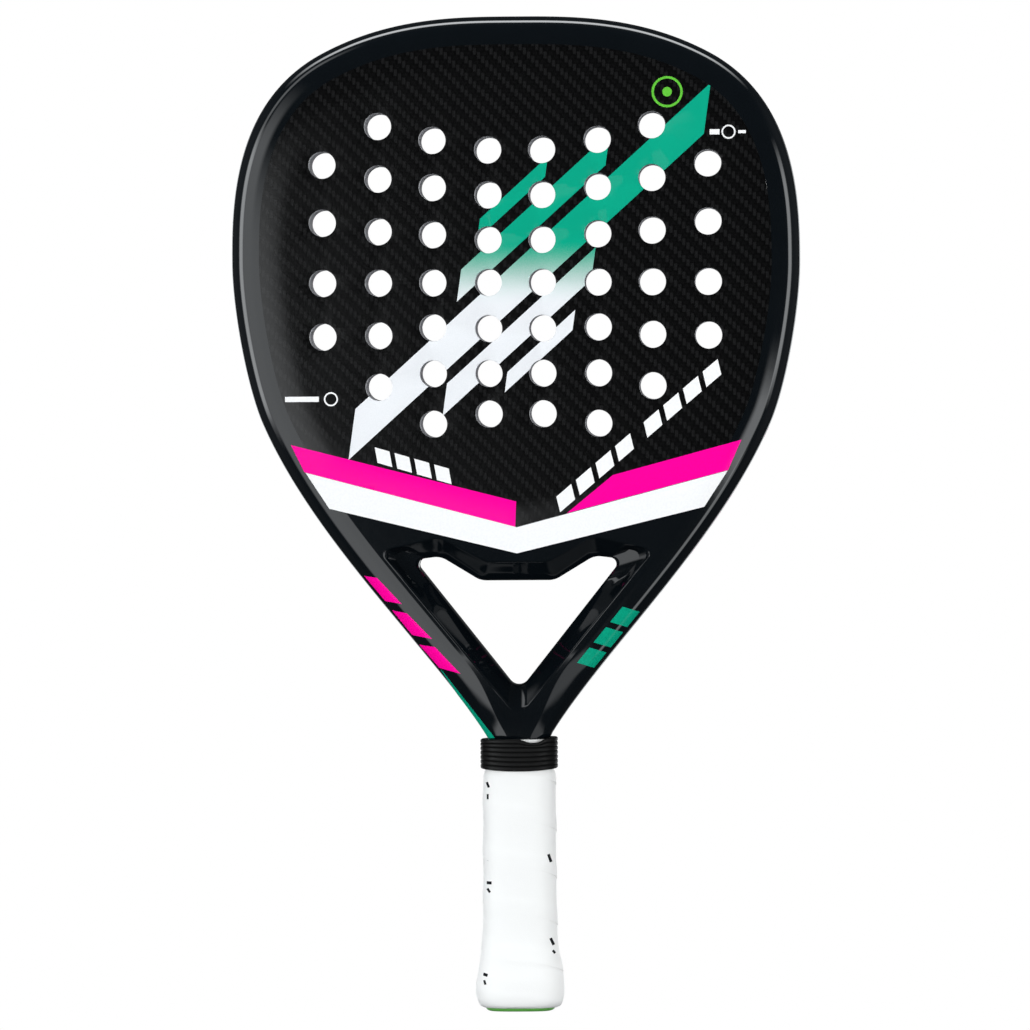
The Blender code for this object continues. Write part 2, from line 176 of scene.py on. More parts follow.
def between(value, low, high):
    """0 at or below low, 1 at or above high, and straight between them."""
    return min(max((value - low) / (high - low), 0.0), 1.0)


def smooth(value, low, high):
    """Like between, but it eases in and out."""
    t = between(value, low, high)
    return t * t * (3.0 - 2.0 * t)


def hump(value, start, full, fading, end):
    """0 outside the outer two places and 1 between the inner two, eased."""
    return smooth(value, start, full) * (1.0 - smooth(value, fading, end))


def eased_table(value, places, amounts):
    """A smooth curve through the amounts given at rising places."""
    if value <= places[0]:
        return amounts[0]
    if value >= places[-1]:
        return amounts[-1]
    slopes = [0.0] * len(places)
    for i in range(1, len(places) - 1):
        slopes[i] = (amounts[i + 1] - amounts[i - 1]) / (places[i + 1] - places[i - 1])
    slopes[0] = (amounts[1] - amounts[0]) / (places[1] - places[0])
    i = max(k for k in range(len(places) - 1) if places[k] <= value)
    gap = places[i + 1] - places[i]
    t = (value - places[i]) / gap
    return (
        (1 + 2 * t) * (1 - t) ** 2 * amounts[i] + t * t * (3 - 2 * t) * amounts[i + 1]
        + gap * t * (1 - t) ** 2 * slopes[i] - gap * t * t * (1 - t) * slopes[i + 1]
    )


def frame_half_depth(z):
    return eased_table(z, NECK_HEIGHTS, NECK_HALF_DEPTHS)


def tube_width(z):
    share = smooth(z, NARROW_BELOW_Z, WIDE_ABOVE_Z)
    return LEG_TUBE_WIDTH + share * (HOOP_TUBE_WIDTH - LEG_TUBE_WIDTH)


def bezier(knots, steps):
    """Points on a cubic from four 2D knots."""
    flat = [Vector((*knot, 0.0)) for knot in knots]
    return [point.to_2d() for point in interpolate_bezier(*flat, steps + 1)]


def flipped(point):
    """The mirror image of a 2D point in the middle line."""
    return Vector((-point.x, point.y))


def mirrored(points):
    """The right half's points followed by the left half's, back up to the first one."""
    return points + [flipped(p) for p in reversed(points) if abs(p.x) > TINY]


def inside(point, loop):
    """True if a 2D point is inside a closed loop."""
    hit = False
    for a, b in zip(loop, loop[1:] + loop[:1]):
        if (a.y > point.y) != (b.y > point.y):
            if point.x < a.x + (point.y - a.y) / (b.y - a.y) * (b.x - a.x):
                hit = not hit
    return hit


def rounded(corners):
    """Half outline from the middle, with each corner (x, z, radius) as an arc and points along the
    sides between, closed by its mirror image."""
    spots = [Vector((0.0, corners[0][1]))] + [Vector(corner[:2]) for corner in corners]
    spots.append(flipped(spots[-2]))
    points = [spots[0]]
    for before, corner, after, (_, _, radius) in zip(spots, spots[1:], spots[2:], corners):
        to_before, to_after = (before - corner).normalized(), (after - corner).normalized()
        half_angle = to_before.angle(to_after) / 2
        centre = corner + (to_before + to_after).normalized() * radius / math.sin(half_angle)
        first = corner + to_before * radius / math.tan(half_angle) - centre
        last = corner + to_after * radius / math.tan(half_angle) - centre
        turn = first.angle_signed(last)
        points += [points[-1].lerp(centre + first, i / SIDE_STEPS) for i in range(1, SIDE_STEPS)]
        for i in range(CORNER_STEPS + 1):
            points.append(centre + Matrix.Rotation(-turn * i / CORNER_STEPS, 2) @ first)
    return mirrored([Vector((max(p.x, 0.0), p.y)) for p in points if p.x > -NEAR_MIDDLE])


# ---- Meshes ----


def vert(bm, x, y, z):
    return bm.verts.new((x * MM, y * MM, z * MM))


def bridge(bm, rows, closed=False):
    """Quads between each row and the next, which all have the same number of vertices."""
    count = len(rows[0])
    for row, following in zip(rows, rows[1:]):
        for i in range(count if closed else count - 1):
            j = (i + 1) % count
            bm.faces.new((row[i], row[j], following[j], following[i]))


def loft(bm, rings, loop=False):
    """Closed rings of points joined into a solid, capped at both ends or joined last to first."""
    rows = [[vert(bm, *point) for point in ring] for ring in rings]
    bridge(bm, rows + rows[:1] if loop else rows, closed=True)
    if not loop:
        bm.faces.new(rows[0])
        bm.faces.new(rows[-1])


def thicken(bm, move):
    """Turn an open sheet into a closed one: every vertex gets a partner where move puts it."""
    sheet = list(bm.faces)
    edges = [edge for edge in bm.edges if edge.is_boundary]
    rims = [(loop.vert, loop.link_loop_next.vert) for edge in edges for loop in edge.link_loops]
    partners = {v: bm.verts.new(move(v)) for v in list(bm.verts)}
    for face in sheet:
        bm.faces.new([partners[v] for v in reversed(face.verts)])
    for a, b in rims:
        bm.faces.new((b, a, partners[a], partners[b]))


def fill_sheet(bm, loops, place, spots=()):
    """Triangles between an outer loop and the loops inside it. Each loop is a list of (2D point,
    vertex); spots are 2D points in between, and place makes the vertex for one."""
    points, verts, edges = [], [], []
    for loop in loops:
        first = len(points)
        points += [point for point, _ in loop]
        verts += [v for _, v in loop]
        edges += [(first + i, first + (i + 1) % len(loop)) for i in range(len(loop))]
    points += spots
    verts += [place(spot) for spot in spots]
    out, _, faces, origins, _, _ = delaunay_2d_cdt(points, edges, [], 0, TINY)
    made = [verts[origin[0]] if origin else place(p) for p, origin in zip(out, origins)]
    shapes = [[point for point, _ in loop] for loop in loops]
    for face in faces:
        centre = sum((out[i] for i in face), Vector((0.0, 0.0))) / len(face)
        if inside(centre, shapes[0]) and not any(inside(centre, shape) for shape in shapes[1:]):
            bm.faces.new([made[i] for i in face])


def finish_mesh(bm, name, angle=SHARP_ANGLE):
    """Write a bmesh out as a smooth-shaded mesh with sharp edges past an angle."""
    bmesh.ops.recalc_face_normals(bm, faces=bm.faces)
    mesh = bpy.data.meshes.new(name)
    bm.to_mesh(mesh)
    bm.free()
    mesh.shade_smooth()
    mesh.set_sharp_from_angle(angle=math.radians(angle))
    return mesh


def new_object(name, data):
    made = bpy.data.objects.new(name, data)
    bpy.context.scene.collection.objects.link(made)
    return made


def add_piece(name, mesh, material, stands_for=()):
    piece = new_object(name, mesh)
    piece.data.materials.clear()
    piece.data.materials.append(material)
    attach(piece, "root")
    if stands_for:
        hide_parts(*stands_for)
    return piece


def add_solid(bm, name, material, stands_for=(), angle=SHARP_ANGLE):
    return add_piece(name, finish_mesh(bm, name, angle), material, stands_for)


# ---- Outline ----


def outline_stations():
    """(point, inward normal) down the right half of the outline, from tip to throat, and the index
    of the station where the faces end, which is put in where the V meets the rim."""
    points = [Vector(OUTLINE_KNOTS[0][0])]
    for start, end, steps in zip(OUTLINE_KNOTS, OUTLINE_KNOTS[1:], KNOT_STEPS):
        points += bezier((start[0], start[2], end[1], end[0]), steps)[1:]
    stations = []
    for i, point in enumerate(points):
        before = points[i - 1] if i else flipped(points[1])
        after = points[i + 1] if i + 1 < len(points) else point + Vector((0.0, -1.0))
        along = (after - before).normalized()
        stations.append((point, Vector((along.y, -along.x))))
    for i, (start, end) in enumerate(zip(stations, stations[1:])):
        a, b = inner(start), inner(end)
        shoulder = intersect_line_line_2d(a, b, chevron(0.0), chevron(HALF_WIDTH))
        if shoulder:
            share = (shoulder - a).length / (b - a).length
            station = (start[0].lerp(end[0], share), start[1].lerp(end[1], share).normalized())
            return stations[:i + 1] + [station] + stations[i + 1:], i + 1
    raise ValueError("the V never meets the rim")


def inner(station, clearance=0.0):
    """Where the tube's inner wall is at a station, and clearance further in."""
    point, normal = station
    return point + normal * (tube_width(point.y) + clearance)


def chevron(x):
    """The point of the faces' V edge at a distance from the middle."""
    return Vector((x, CHEVRON_CENTRE_Z + CHEVRON_SLOPE * abs(x)))


def half_v():
    """Points down the faces' V edge from its right shoulder to the middle, without the shoulder."""
    steps = range(1, CHEVRON_STEPS + 1)
    return [FACE_RIM[-1].lerp(chevron(0.0), i / CHEVRON_STEPS) for i in steps]


def circle(centre, radius, sides=HOLE_SIDES):
    step = 2 * math.pi / sides
    return [
        centre + radius * Vector((math.cos(step * i), math.sin(step * i))) for i in range(sides)
    ]


STATIONS, SHOULDER_INDEX = outline_stations()
FACE_RIM = [inner(station) for station in STATIONS[:SHOULDER_INDEX + 1]]
HALF_V = half_v()
HOLES = [
    Vector((side * column_x, CENTRE_ROW_Z + height))
    for column_x, heights in DRILL_CHART for height in heights for side in (1, -1)
]


# ---- Moulded frame and throat ----


def rim_section():
    """Half section, from the middle of the side to the inner wall."""
    shoulder = bezier(SHOULDER, SHOULDER_STEPS)
    crown = bezier(CROWN, CROWN_STEPS)
    return [Vector(point) for point in SIDE_FLAT] + shoulder + crown[1:]


def rim_row(bm, station, section):
    """One row of the rim, from the front inner edge round the side to the rear inner edge."""
    point, normal = station
    row = []
    for p, side in [(p, -1) for p in reversed(section)] + [(p, 1) for p in section[1:]]:
        spot = point + normal * p.x * tube_width(point.y)
        row.append(vert(bm, spot.x, side * p.y * frame_half_depth(spot.y), spot.y))
    return row


def throat_ring(bm, opening, crease, side):
    """The bevel round the opening on one side, from the crease to the opening's edge."""
    rows = []
    for (share, bevel_depth), pocket_depth in zip(BEVEL, POCKET_DEPTHS):
        row = []
        for c, o in zip(crease, opening):
            p = c.lerp(o, share)
            pocket = smooth((c - o).length, POCKET_FROM, POCKET_WIDTH)
            depth = bevel_depth + pocket * (pocket_depth - bevel_depth)
            row.append(vert(bm, p.x, side * depth * frame_half_depth(p.y) / FRAME_HALF_DEPTH, p.y))
        rows.append(row)
    bridge(bm, rows, closed=True)
    return rows


def neck_spots(outline, crease_line):
    """Points over the flat of the arms, closer together low down where the neck thins."""
    spots = []
    z = THROAT_FOOT_Z + NECK_START
    while z < chevron(HALF_WIDTH).y:
        step = NECK_STEP if z < NECK_HEIGHTS[-1] else ARM_STEP
        columns = int(HALF_WIDTH // step)
        for i in range(-columns, columns + 1):
            spot = Vector((i * step, z))
            near = min((spot - p).length for p in outline + crease_line)
            free = inside(spot, outline) and not inside(spot, crease_line)
            if free and near > EDGE_SHARE * step:
                spots.append(spot)
        z += step
    return spots


def make_moulded_frame(material):
    bm = bmesh.new()
    section = rim_section()
    left = [(flipped(point), flipped(normal)) for point, normal in STATIONS[1:]]
    stations = STATIONS[::-1] + left
    rows = [rim_row(bm, station, section) for station in stations]
    bridge(bm, rows)

    tip = len(STATIONS) - 1
    right_shoulder, left_shoulder = tip - SHOULDER_INDEX, tip + SHOULDER_INDEX
    for i in range(right_shoulder, left_shoulder):
        bm.faces.new((rows[i][0], rows[i + 1][0], rows[i + 1][-1], rows[i][-1]))

    opening, crease = rounded(OPENING_CORNERS), rounded(CREASE_CORNERS)
    crease_line = [c.lerp(o, BEVEL[0][0]) for c, o in zip(crease, opening)]
    v_line = mirrored(HALF_V)
    arms = list(range(right_shoulder, -1, -1))
    arms_left = list(range(len(stations) - 1, left_shoulder - 1, -1))
    outline = [inner(stations[i]) for i in arms + arms_left] + v_line[::-1]
    spots = neck_spots(outline, crease_line)
    walls, v_rows = [], []
    for side in (-1, 1):
        end = 0 if side < 0 else -1
        v_row = [vert(bm, p.x, side * FRAME_HALF_DEPTH, p.y) for p in v_line]
        ring = throat_ring(bm, opening, crease, side)
        edge = [rows[i][end] for i in arms + arms_left] + v_row[::-1]
        loops = [list(zip(outline, edge)), list(zip(crease_line, ring[0]))]
        fill_sheet(bm, loops, lambda p: vert(bm, p.x, side * frame_half_depth(p.y), p.y), spots)
        walls.append(ring[-1])
        v_rows.append([rows[right_shoulder][end], *v_row, rows[left_shoulder][end]])
    bridge(bm, walls, closed=True)
    bridge(bm, v_rows)
    open_edges = [edge for edge in bm.edges if edge.is_boundary]
    bmesh.ops.holes_fill(bm, edges=open_edges, sides=len(open_edges))
    add_legs(bm)
    stands_for = ("frame_tube", "throat_bridge")
    piece = add_solid(bm, "moulded_frame", material, stands_for)
    shade_flats(piece.data)
    return piece


def shade_flats(mesh):
    """Exact normals where the arms and neck are flat across, so that their lacquer mirrors evenly.
    A zero vector leaves a face's corner as it is."""
    normals = [Vector((0.0, 0.0, 0.0))] * len(mesh.loops)
    for face in mesh.polygons:
        for corner in face.loop_indices:
            spot = mesh.vertices[mesh.loops[corner].vertex_index].co / MM
            slope = frame_half_depth(spot.z + 0.5) - frame_half_depth(spot.z - 0.5)
            normal = Vector((0.0, math.copysign(1.0, spot.y), -slope)).normalized()
            level = abs(abs(spot.y) - frame_half_depth(spot.z)) < FLAT_GAP
            on_arms = THROAT_FOOT_Z < spot.z < chevron(HALF_WIDTH).y
            if level and on_arms and face.normal.dot(normal) > FLAT_COSINE:
                normals[corner] = normal
    mesh.normals_split_custom_set(normals)


def add_legs(bm):
    """The tube's two legs, which run down inside the handle."""
    angles = [2 * math.pi * i / LEG_SIDES for i in range(LEG_SIDES)]
    section = [superellipse(a, LEG_TUBE_WIDTH / 2, LEG_HALF_DEPTH, LEG_SQUARENESS) for a in angles]
    for side in (-1, 1):
        middle = side * (STATIONS[-1][0].x - LEG_TUBE_WIDTH / 2)
        loft(bm, [[(middle + x, y, z) for x, y in section] for z in (THROAT_FOOT_Z, LEG_FOOT_Z)])


# ---- Faces and core ----


def face_edge():
    """Outline of the faces and the core, on the same stations as the rim."""
    rim = [inner(station, JOINT) for station in STATIONS[:SHOULDER_INDEX]]
    return mirrored(rim + [p + Vector((0.0, JOINT)) for p in [FACE_RIM[-1]] + HALF_V])


def face_spots():
    """Points on lines inside the face's edge, where it falls to the frame, clear of the holes."""
    spots = []
    for inset in FACE_INSETS:
        rim = [inner(station, inset) for station in STATIONS[:SHOULDER_INDEX:2]]
        low = [p + Vector((0.0, inset)) for p in HALF_V[::2]]
        spots += [p for p in rim if p.y > chevron(p.x).y + CLEARANCE]
        spots += [p for p in low if edge_distance(p) > inset - SLACK]
    clear = [p for p in spots if all((p - hole).length > HOLE_RADIUS + CLEARANCE for hole in HOLES)]
    return [spot for p in clear for spot in ((p, flipped(p)) if p.x > TINY else (p,))]


def edge_distance(point):
    """How far a point of the face is from the face's edge."""
    mirror = Vector((abs(point.x), point.y))
    rim = min((mirror - spot).length for spot in FACE_RIM)
    down = (mirror.y - chevron(mirror.x).y) / math.hypot(1.0, CHEVRON_SLOPE)
    return min(rim, down)


def face_height(point):
    """Distance of the face's surface from the middle plane: flat, and falling near the edge."""
    share = between(edge_distance(point), 0.0, CROWN_WIDTH)
    return FACE_OUT - CROWN_DROP * (1.0 - share) ** 2


def make_face_mesh():
    bm = bmesh.new()
    edge = [(p, vert(bm, p.x, -face_height(p), p.y)) for p in face_edge()]
    loops = [edge]
    for centre in HOLES:
        rows = []
        for beyond, below in HOLE_RIM:
            points = circle(centre, HOLE_RADIUS + beyond)
            rows.append([(p, vert(bm, p.x, below - face_height(p), p.y)) for p in points])
        for row, lower in zip(rows, rows[1:]):
            bridge(bm, [[v for _, v in lower], [v for _, v in row]], closed=True)
        loops.append(rows[0])
    fill_sheet(bm, loops, lambda p: vert(bm, p.x, -face_height(p), p.y), face_spots())
    bmesh.ops.recalc_face_normals(bm, faces=bm.faces)
    thicken(bm, lambda v: (v.co.x, -FACE_IN * MM, v.co.z))
    return finish_mesh(bm, "front_face")


def make_faces(carbon):
    front = make_face_mesh()
    rear = front.copy()
    rear.name = "rear_face"
    rear.transform(Matrix.Rotation(math.pi, 4, "Z"))
    pieces = [
        add_piece("front_face", front, carbon, ("front_face_skin",)),
        add_piece("rear_face", rear, carbon, ("rear_face_skin",)),
    ]
    for piece in pieces:  # the flat keeps flat normals beside its rounded edges
        piece.modifiers.new("even_shading", "WEIGHTED_NORMAL").keep_sharp = True
    return pieces


def make_core(foam):
    bm = bmesh.new()
    loops = []
    for points in [face_edge()] + [circle(centre, HOLE_RADIUS) for centre in HOLES]:
        loops.append([(p, vert(bm, p.x, -CORE_HALF_DEPTH, p.y)) for p in points])
    fill_sheet(bm, loops, lambda p: vert(bm, p.x, -CORE_HALF_DEPTH, p.y))
    thicken(bm, lambda v: (v.co.x, CORE_HALF_DEPTH * MM, v.co.z))
    add_solid(bm, "foam_core", foam, ("eva_core",))


# ---- Handle ----


def superellipse(angle, half_width, half_depth, squareness):
    c, s = math.cos(angle), math.sin(angle)
    x = half_width * math.copysign(abs(c) ** (2 / squareness), c)
    y = half_depth * math.copysign(abs(s) ** (2 / squareness), s)
    return x, y


def handle_ring(z, half_width, squareness=SQUARENESS, slimmer=SLIMMER):
    """The handle's section at a height. Its half depth is slimmer than its half width."""
    angles = (2 * math.pi * i / RING_POINTS for i in range(RING_POINTS))
    half_depth = half_width - slimmer
    return [(*superellipse(angle, half_width, half_depth, squareness), z) for angle in angles]


def grip_curve():
    """The grip's profile by distance along it, as (distance, height, half width)."""
    line, walked = [(0.0, *GRIP_PROFILE[0])], 0.0
    for before, after in zip(GRIP_PROFILE, GRIP_PROFILE[1:]):
        walked += math.dist(before, after)
        line.append((walked, *after))
    return line


def grip_lift(above_seam):
    """How far the tape stands out, by distance above its lower edge, which laps the last turn."""
    return GRIP_STEP * (1.0 - smooth(above_seam, *GRIP_SINK))


def make_overgrip(material):
    places, heights, halves = zip(*grip_curve())
    straight = next(d for d, z in zip(places, heights) if z >= GRIP_STRAIGHT_Z)
    seam_start = straight + GRIP_SEAM_Z - GRIP_STRAIGHT_Z
    top_end = places[-1] - GRIP_SPARE

    def place(angle, distance, lift):
        z = eased_table(distance, places, heights)
        half = eased_table(distance, places, halves)
        c, s = math.cos(angle), math.sin(angle)
        spot = Vector((c * CRUMPLES_ROUND, s * CRUMPLES_ROUND, z / CRUMPLE_LENGTH))
        wrap = 2 * math.pi * distance / GRIP_PITCH - angle
        pull = noise.noise(Vector((math.cos(wrap), math.sin(wrap), c + PULL_START)))
        radius = half + lift + GRIP_CRUMPLE * noise.noise(spot) + GRIP_PULL * pull
        return vert(bm, *superellipse(angle, radius, radius - SLIMMER, SQUARENESS), z)

    bm = bmesh.new()
    turns = range(-1, int(places[-1] / GRIP_PITCH) + 3)
    columns = []
    for j in range(RING_POINTS + 1):
        angle = math.pi + 2 * math.pi * j / RING_POINTS
        drop = GRIP_PITCH * j / RING_POINTS
        limit = top_end + TAPE_RISE * hump(angle / math.pi % 2, *TAPE_LOBE)
        column = []
        for turn in turns:
            seam = seam_start % GRIP_PITCH + (turn - 1) * GRIP_PITCH - drop
            rows = [(seam + up, grip_lift(up)) for up in GRIP_ROWS] + [(seam + GRIP_PITCH, 0.0)]
            for distance, lift in rows:
                if distance <= 0.0 or distance >= limit:
                    distance = min(max(distance, 0.0), limit)
                    lift = grip_lift((distance - seam) % GRIP_PITCH)
                column.append(place(angle, distance, lift))
        columns.append(column)
    bridge(bm, columns)
    bmesh.ops.remove_doubles(bm, verts=bm.verts, dist=GRIP_WELD * MM)
    bmesh.ops.recalc_face_normals(bm, faces=bm.faces)
    piece = add_solid(bm, "wound_overgrip", material, ("overgrip",), angle=50.0)
    wall = piece.modifiers.new("tape_thickness", "SOLIDIFY")
    wall.thickness = GRIP_THICKNESS * MM
    wall.offset = -1.0
    return piece


COLLAR_RIBS = 7
RIB_DEPTH, RIB_STEPS, RIB_FLATNESS = 0.55, 8, 5
COLLAR_BORE = ((0.0, 16.8), (0.6, 16.4))  # rise above the foot, inner half width
COLLAR_LIP = ((2.9, 16.4), (2.4, 15.4), (0.4, 15.4), (0.0, 15.8))  # drop below the top, the same
COLLAR_DROOP = 1.1  # the lower edge hangs this much lower in the middle of the front and rear
COLLAR_DIP = 2.0  # the upper edge is pulled down here, where the tape shows
DIP_ACROSS, DIP_FORWARD = (-1.0, 6.0, 8.0, 14.0), (2.0, 8.0)
COLLAR_TILT, SHAPED_TOP = 0.8, 5.0  # how far the top leans, and the height that leans and dips


def collar_ring(z, half_width):
    """A ring of the collar. Low rings sag in the middle of each broad side; high ones dip on the
    right of the front and lean down to the left."""
    low = 1.0 - between(z, COLLAR_FOOT_Z, COLLAR_TOP_Z)
    high = smooth(z, COLLAR_TOP_Z - SHAPED_TOP, COLLAR_TOP_Z)
    ring = []
    for x, y, _ in handle_ring(z, half_width):
        droop = COLLAR_DROOP * low * min(abs(x) / half_width, 1.0) ** 2
        dip = hump(x, *DIP_ACROSS) * smooth(-y, *DIP_FORWARD)
        tilt = COLLAR_TILT * (0.5 - x / half_width / 2)
        ring.append((x, y, z + droop - high * (COLLAR_DIP * dip + tilt)))
    return ring


def make_collar(material):
    pitch = (COLLAR_TOP_Z - COLLAR_FOOT_Z) / COLLAR_RIBS
    rings = []
    for i in range(COLLAR_RIBS * RIB_STEPS + 1):
        across = (i % RIB_STEPS) / RIB_STEPS
        groove = RIB_DEPTH * abs(2 * across - 1) ** RIB_FLATNESS
        rings.append(collar_ring(COLLAR_TOP_Z - i * pitch / RIB_STEPS, COLLAR_OUTSIDE - groove))
    rings += [collar_ring(COLLAR_FOOT_Z + rise, half_width) for rise, half_width in COLLAR_BORE]
    rings += [collar_ring(COLLAR_TOP_Z - drop, half_width) for drop, half_width in COLLAR_LIP]
    bm = bmesh.new()
    loft(bm, rings, loop=True)
    add_solid(bm, "ribbed_collar", material, ("rubber_collar",), angle=60.0)


CORD_HOLE_RADIUS = 4.0
# The end plate's sections, in by its rim and groove to the cord hole: (height, half width), and for
# the inner ones their squareness and how much slimmer they are.
END_PLATE = (
    (DISC_TOP_Z, 15.9), (1.4, 15.9), (0.8, 15.6), (0.3, 14.9), (0.05, 14.0), (0.0, 13.0),
    (0.0, 10.4, 2.6, 1.0), (0.35, 10.1, 2.6, 1.0), (0.35, 9.3, 2.5, 0.8), (0.0, 9.0, 2.5, 0.8),
    (0.0, CORD_HOLE_RADIUS + 1.0, 2.0, 0.0), (0.15, CORD_HOLE_RADIUS + 0.4, 2.0, 0.0),
    (0.6, CORD_HOLE_RADIUS, 2.0, 0.0), (DISC_TOP_Z, CORD_HOLE_RADIUS, 2.0, 0.0),
)


def make_end_plate(material):
    """The plate under the butt cap: a soft rim, a shallow ring groove and the wrist cord's hole."""
    bm = bmesh.new()
    loft(bm, [handle_ring(*section) for section in END_PLATE], loop=True)
    add_solid(bm, "end_plate", material, ("butt_cap_disc",), angle=40.0)


# ---- Printed graphics ----

INK = 0.05  # how far a print stands off its surface
WELD = 0.04  # vertices of a print nearer than this are one
FACING = 0.2  # least cosine between a printed face's normal and the view
FRONT, REAR = Vector((0.0, -1.0, 0.0)), Vector((0.0, 1.0, 0.0))
RIGHT, LEFT = Vector((1.0, 0.0, 0.0)), Vector((-1.0, 0.0, 0.0))


def facing(piece, view):
    """The faces of a piece that face a view, each as (lowest and highest across, lowest and highest
    height, vertex indices, corners)."""
    across, mesh, found = UP.cross(view), piece.data, []
    for face in mesh.polygons:
        if face.normal.dot(view) > FACING:
            corners = [mesh.vertices[i].co for i in face.vertices]
            flat = [across.dot(corner) for corner in corners]
            tall = [corner.z for corner in corners]
            found.append((min(flat), max(flat), min(tall), max(tall), list(face.vertices), corners))
    return found


def patch(bm, surface, polygon, view):
    """Copy the part of a surface that a convex polygon covers, seen from the direction of view."""
    across = UP.cross(view)
    polygon = [tuple(point) for point in polygon]
    area = sum(a[0] * b[1] - b[0] * a[1] for a, b in zip(polygon, polygon[1:] + polygon[:1]))
    if area < 0.0:
        polygon.reverse()
    low = Vector((min(p[0] for p in polygon), min(p[1] for p in polygon))) * MM
    high = Vector((max(p[0] for p in polygon), max(p[1] for p in polygon))) * MM
    piece = bmesh.new()
    verts = {}
    for left, right, foot, top, indices, corners in surface:
        if right < low.x or left > high.x or top < low.y or foot > high.y:
            continue
        for i, corner in zip(indices, corners):
            if i not in verts:
                verts[i] = piece.verts.new(corner)
        piece.faces.new([verts[i] for i in indices])
    for a, b in zip(polygon, polygon[1:] + polygon[:1]):
        start = (across * a[0] + UP * a[1]) * MM
        outward = across * (b[1] - a[1]) - UP * (b[0] - a[0])
        geom = [*piece.verts, *piece.edges, *piece.faces]
        bmesh.ops.bisect_plane(
            piece, geom=geom, plane_co=start, plane_no=outward, clear_outer=True, dist=1e-7
        )
    piece.normal_update()
    made = {v: bm.verts.new(v.co) for v in piece.verts}
    for face in piece.faces:
        bm.faces.new([made[v] for v in face.verts])
    piece.free()


def lay_print(name, polygons, material, view, surfaces):
    """A thin layer of ink over the surfaces, in the shape of some convex polygons."""
    bm = bmesh.new()
    for polygon in polygons:
        for surface in surfaces:
            patch(bm, surface, polygon, view)
    bmesh.ops.remove_doubles(bm, verts=bm.verts, dist=WELD * MM)
    bm.normal_update()
    under = {v: v.co.copy() for v in bm.verts}
    for v in bm.verts:
        v.co += v.normal * INK * MM
    thicken(bm, lambda v: under[v])
    add_solid(bm, name, material)


def bar(start, end, width, lean=0.0):
    """A straight bar from start to end as a polygon. Its ends lean by a share of its width."""
    a, b = Vector(start), Vector(end)
    along = (b - a).normalized()
    side = Vector((-along.y, along.x)) * width / 2
    tilt = along * lean * width / 2
    return [a - side - tilt, b - side - tilt, b + side + tilt, a + side + tilt]


def ring_polygons(centre, radius, width, sides=16):
    outer = circle(Vector(centre), radius + width / 2, sides)
    middle = circle(Vector(centre), radius - width / 2, sides)
    return [
        [outer[i], outer[(i + 1) % sides], middle[(i + 1) % sides], middle[i]]
        for i in range(sides)
    ]


def dashes(start, end, height, length, count, gap, lean):
    """Bars in a row from start towards end."""
    a, along = Vector(start), (Vector(end) - Vector(start)).normalized()
    places = [i * (length + gap) for i in range(count)]
    return [bar(a + along * d, a + along * (d + length), height, lean) for d in places]


# Shapes of the prints: convex polygons of (across, height), seen from the side that they are on.
CHEVRON_BAND = [
    [(0.0, 221.7), (0.0, 209.8), (side * 85.6, 230.6), (side * 96.4, 247.1)] for side in (1, -1)
]
PINK_BANDS = [
    [(-103.0, 259.8), (-0.2, 233.5), (-0.7, 221.9), (-96.9, 247.3)],
    [(22.9, 228.0), (44.0, 245.3), (102.7, 261.1), (96.6, 247.3)],
]
ARM_FLASHES = [
    [(-70.0, 199.8), (-64.0, 198.9), (-52.7, 186.9), (-60.4, 188.3)],
    [(-57.3, 184.0), (-50.4, 182.6), (-39.0, 170.9), (-48.2, 172.7)],
    [(-45.0, 168.2), (-37.7, 167.2), (-26.1, 154.9), (-35.9, 157.6)],
]
ARM_STRIPE = [[(-35.4, 156.9), (-34.6, 156.3), (-10.8, 125.3), (-14.6, 124.8)]]
STRIPE_MIDDLE = Vector((5.0, 337.0))
STRIPE_ANGLE = math.radians(42.2)
# Speed stripes over the face: (offset across, start along, end along, width).
SPEED_STRIPES = (
    (0.0, -108.0, 112.0, 15.0), (17.0, -26.0, 66.0, 9.5), (-17.0, -66.0, 26.0, 9.5),
    (30.0, -2.0, 40.0, 6.0), (-30.0, -40.0, 2.0, 6.0),
)


def speed_stripes():
    along = Vector((math.cos(STRIPE_ANGLE), math.sin(STRIPE_ANGLE)))
    side = Vector((-along.y, along.x))
    return [
        bar(STRIPE_MIDDLE + side * offset + along * start,
            STRIPE_MIDDLE + side * offset + along * end, width, lean=1.2)
        for offset, start, end, width in SPEED_STRIPES
    ]


# Rows of plain dashes: start, a point that the row runs towards, height, length, count, gap, lean.
WHITE_DASHES = (
    ((-64.0, 255.0), (-30.0, 245.0), 6.5, 7.0, 4, 2.4, -0.5),
    ((19.0, 232.0), (103.0, 303.5), 6.5, 9.0, 4, 2.8, 0.5),
    ((59.0, 265.8), (103.0, 303.0), 6.5, 9.0, 4, 2.8, 0.5),
)
ARM_DASHES = ((31.0, 158.5), (54.0, 186.5), 7.5, 9.0, 3, 3.0, -0.4)
WHITE_BARS = [
    bar((-105.5, 280.6), (-90.0, 280.6), 2.4), bar((89.0, 401.5), (93.5, 401.5), 2.4),
    bar((102.0, 401.5), (105.5, 401.5), 1.4),
]
WHITE_RINGS = ring_polygons((-84.5, 280.6), 2.9, 0.7) + ring_polygons((97.6, 401.5), 2.9, 0.7)
BADGE_CENTRE = Vector((69.7, 419.9))
BADGE = ring_polygons(BADGE_CENTRE, 6.6, 1.1, 24) + [circle(BADGE_CENTRE, 2.2, 16)]
FLANK_BANDS = [bar((0.0, 262.0), (0.0, 266.5), 13.0), bar((0.0, 207.0), (0.0, 241.0), 11.0)]
